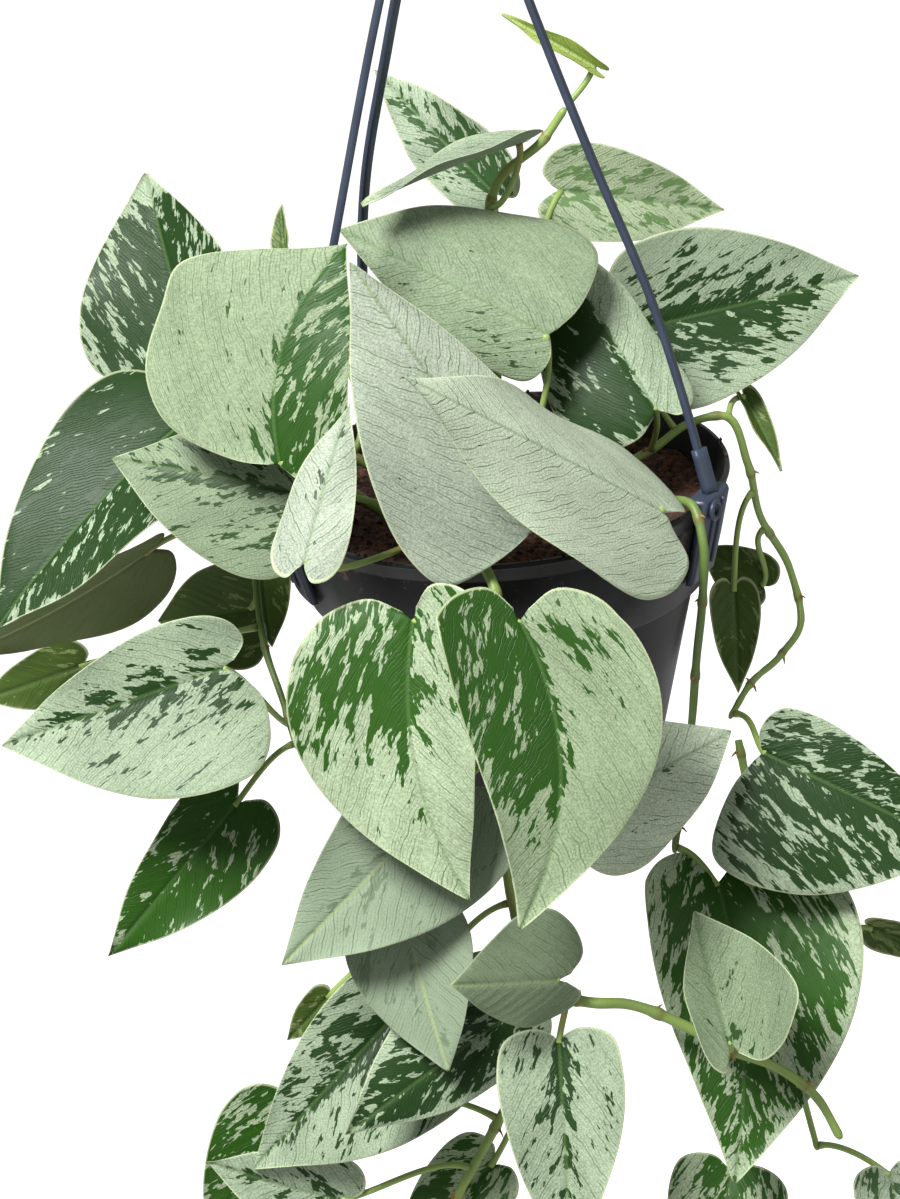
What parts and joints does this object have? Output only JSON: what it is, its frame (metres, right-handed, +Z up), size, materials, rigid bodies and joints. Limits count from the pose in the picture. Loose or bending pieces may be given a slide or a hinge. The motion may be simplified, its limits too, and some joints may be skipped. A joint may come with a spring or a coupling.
{
  "type": "potted hanging plant",
  "caption": "Potted trailing houseplant with silvery heart-shaped leaves in a black tapered pot of peat, hung by a slim plastic hanger with clips and a top hook.",
  "frame": {"origin": "the point where the top of the hanger's hook bears on whatever holds the plant up", "axes": "+Z up; -Y toward the side with most of the foliage; +X to the right when looking along +Y"},
  "size_m": [0.326, 0.2566, 0.5225],
  "materials": {
    "pot_black": "semi-gloss",
    "hanger_slate": "satin",
    "peat": "crumbly matt",
    "vine_green": "waxy satin",
    "leaf_silver": "satin with a fine silvery grain",
    "leaf_green": "satin"
  },
  "bodies": {
    "root": {"pot": "pot_black", "peat": "peat", "vine_top": "vine_green", "vine_front": "vine_green", "vine_side": "vine_green", "vine_low": "vine_green", "vine_right": "vine_green", "vine_rim": "vine_green", "vine_left": "vine_green", "vine_left_low": "vine_green", "vine_far": "vine_green", "hanger_hook": "hanger_slate", "hanger_arm_right": "hanger_slate", "hanger_arm_left": "hanger_slate", "hanger_arm_back": "hanger_slate", "leaf_top_rolled": "leaf_silver", "leaf_top_back": "leaf_silver", "leaf_top_level": "leaf_silver", "leaf_crown_silver": "leaf_silver", "leaf_crown_right": "leaf_silver", "leaf_back_right": "leaf_silver", "leaf_back_pale": "leaf_silver", "leaf_back_left": "leaf_silver", "leaf_back_bud": "leaf_green", "leaf_folded": "leaf_silver", "leaf_drape_left": "leaf_silver", "leaf_drape_right": "leaf_silver", "leaf_left_grey": "leaf_silver", "leaf_narrow": "leaf_silver", "leaf_left_large": "leaf_silver", "leaf_left_under": "leaf_silver", "leaf_left_far": "leaf_green", "leaf_left_olive": "leaf_green", "leaf_left_olive_small": "leaf_green", "leaf_left_silver": "leaf_silver", "leaf_left_low": "leaf_green", "leaf_front_left": "leaf_silver", "leaf_front_right": "leaf_silver", "leaf_front_under": "leaf_silver", "leaf_low_under": "leaf_silver", "leaf_right_drape": "leaf_silver", "leaf_low_grey": "leaf_silver", "leaf_low_hanging": "leaf_silver", "leaf_low_cupped": "leaf_silver", "leaf_low_left": "leaf_silver", "leaf_low_green": "leaf_silver", "leaf_low_silver": "leaf_silver", "leaf_far_right": "leaf_silver", "leaf_right_heart": "leaf_silver", "leaf_right_young": "leaf_silver", "leaf_right_edge": "leaf_green", "leaf_right_low": "leaf_green", "leaf_right_lowest": "leaf_silver", "leaf_behind_right": "leaf_green", "leaf_behind_hanging": "leaf_green", "leaf_spear_right": "leaf_green", "leaf_crown_bud": "leaf_green", "leaf_low_back": "leaf_silver", "leaf_low_bud": "leaf_green"}
  },
  "joints": []
}
